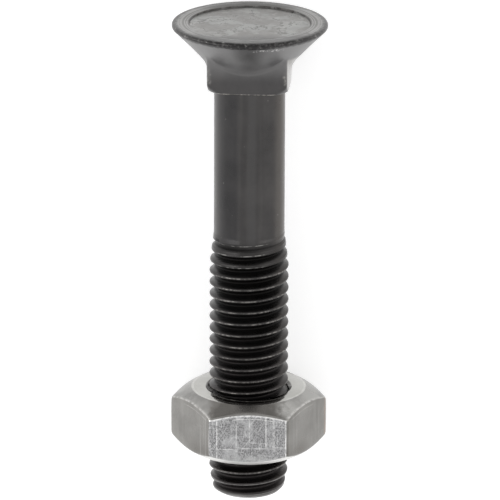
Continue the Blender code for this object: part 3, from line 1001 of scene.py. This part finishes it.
        # Rubbed edges, painted brighter as highlights: faint on the side flats, bright on the worn flat
        edge = self.stripe(self.off_chamfer, 0.16 * MM, 0.03 * MM, 0.08 * MM)
        off_front = self.ramp(self.side, 4.4 * MM, 5.0 * MM, 0.0, 0.5)
        self.lay(self.times(edge, self.upper_half, self.broken, off_front), SIDE_EDGE_HIGHLIGHT)
        edge = self.stripe(self.off_chamfer, 0.46 * MM, 0.07 * MM, 0.12 * MM)
        self.lay(self.times(edge, self.worn, self.upper_half, self.broken), FRONT_EDGE_HIGHLIGHT)
        # Painted shade inside the bore and its mouths
        bore = self.ramp(self.radius, NUT_MOUTH_RADIUS - 0.1 * MM, NUT_MOUTH_RADIUS, 1.0, 0.0)
        self.lay(bore, BORE_SHADE)
        # Painted warm sheen on the right-hand corner of the nut
        right_corner = self.ramp(self.x, 9.3 * MM, 9.55 * MM, 0.0, 0.5)
        right_corner = self.times(right_corner, self.ramp(self.blotch, 0.4, 0.6, 0.5, 1.0))
        self.lay(self.times(self.on_flat, right_corner), WARM_SHEEN_CORNER)

    def set_surface(self):
        """Duller on the worn flat and the lower chamfer, polished on the upper face."""
        polished = self.times(self.on_end, self.upper_half, self.outside(self.chamfered))
        roughness = self.ramp(self.blotch, 0.3, 0.7, 0.22, 0.30)
        roughness = self.plus(roughness, self.times(self.worn, 0.12))
        roughness = self.minus(roughness, self.times(polished, 0.13))
        roughness = self.plus(roughness, self.times(self.on_end, self.low_chamfer, 0.2))
        relief = self.plus(self.times(self.fine, 0.3), self.times(self.streak, 0.4))
        relief = self.times(relief, self.outside(self.times(self.on_end, 0.7)))
        relief = self.plus(relief, self.times(self.mottle, self.worn, 0.8))
        self.connect(roughness, relief)


def dress(piece, finish):
    piece.data.materials.clear()
    piece.data.materials.append(finish.material)


# The pieces

bolt_piece = bolt()
lay_down(bolt_piece)
dress(bolt_piece, BlackSteel())
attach(bolt_piece, "bolt")
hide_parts("plow_bolt")

nut_piece = hex_nut()
lay_down(nut_piece)
dress(nut_piece, BareSteel())
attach(nut_piece, "nut")
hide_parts("hex_nut")


# Floor, light and camera

FLOOR_SIZE = 3.0
FLOOR_BELOW = 0.02 * MM
FLOOR_TONE = (0.82, 0.82, 0.82, 1.0)
FLOOR_LIFT = 0.4
SKY_LIGHT = 0.9
WHITE = (1, 1, 1, 1)
SOFTBOX_SIZE = (0.3, 0.8)
SOFTBOX_TARGET = (0, 0, 0.01)


def seen_directly(tree, otherwise, directly):
    """One strength where the camera, metal or glass sees a surface, another where it lights."""
    rays = tree.nodes.new("ShaderNodeLightPath")
    seen = rays.outputs["Is Camera Ray"]
    for kind in ("Is Glossy Ray", "Is Transmission Ray"):
        either = tree.nodes.new("ShaderNodeMath")
        either.operation = "MAXIMUM"
        tree.links.new(seen, either.inputs[0])
        tree.links.new(rays.outputs[kind], either.inputs[1])
        seen = either.outputs[0]
    strength = tree.nodes.new("ShaderNodeMapRange")
    strength.inputs["To Min"].default_value = otherwise
    strength.inputs["To Max"].default_value = directly
    tree.links.new(seen, strength.inputs["Value"])
    return strength.outputs["Result"]


def white_floor():
    """A pale floor that shows as white, also in the metal, and keeps the bolt's shadow."""
    deselect_all()
    bpy.ops.mesh.primitive_plane_add(size=FLOOR_SIZE, location=(0, 0, -FLOOR_BELOW))
    floor = bpy.context.object
    floor.name = "floor"
    bpy.ops.object.transform_apply(location=True, rotation=False, scale=False)
    material = bpy.data.materials.new("Pale floor")
    material.use_nodes = True
    tree = material.node_tree
    shader = tree.nodes["Principled BSDF"]
    shader.inputs["Base Color"].default_value = FLOOR_TONE
    shader.inputs["Roughness"].default_value = 0.9
    shader.inputs["Specular IOR Level"].default_value = 0.0
    shader.inputs["Emission Color"].default_value = WHITE
    tree.links.new(seen_directly(tree, 0.0, FLOOR_LIFT), shader.inputs["Emission Strength"])
    floor.data.materials.append(material)


def softbox(name, place, power):
    """A large soft lamp that faces the bolt."""
    lamp = bpy.data.lights.new(name, "AREA")
    lamp.shape = "RECTANGLE"
    lamp.size, lamp.size_y = SOFTBOX_SIZE
    lamp.energy = power
    thing = bpy.data.objects.new(name, lamp)
    bpy.context.scene.collection.objects.link(thing)
    thing.location = place
    towards = Vector(SOFTBOX_TARGET) - Vector(place)
    thing.rotation_euler = towards.to_track_quat("-Z", "Y").to_euler()


white_floor()
softbox("left_softbox", (-0.6, 0.1, 0.3), 2.0)
softbox("right_softbox", (0.6, 0.1, 0.25), 1.0)

world = bpy.data.worlds.new("Studio")
bpy.context.scene.world = world
world.use_nodes = True
sky = world.node_tree.nodes["Background"]
sky.inputs["Color"].default_value = WHITE
world.node_tree.links.new(seen_directly(world.node_tree, SKY_LIGHT, 1.0), sky.inputs["Strength"])

bpy.context.scene.view_settings.view_transform = "Standard"

CAMERA_PLACE = (0.105 * MM, 225.939 * MM, 733.046 * MM)
CAMERA_LEAN = math.radians(17.263)
CAMERA_ROLL = math.radians(0.1967)
camera = bpy.data.cameras.new("camera")
camera.lens = 441.421
camera.sensor_width = 36.0
camera.clip_start = 0.01
camera.clip_end = 20.0
camera_object = bpy.data.objects.new("camera", camera)
bpy.context.scene.collection.objects.link(camera_object)
turned = Matrix.Rotation(-CAMERA_LEAN, 4, "X") @ Matrix.Rotation(CAMERA_ROLL, 4, "Z")
camera_object.matrix_world = Matrix.Translation(CAMERA_PLACE) @ turned
bpy.context.scene.camera = camera_object
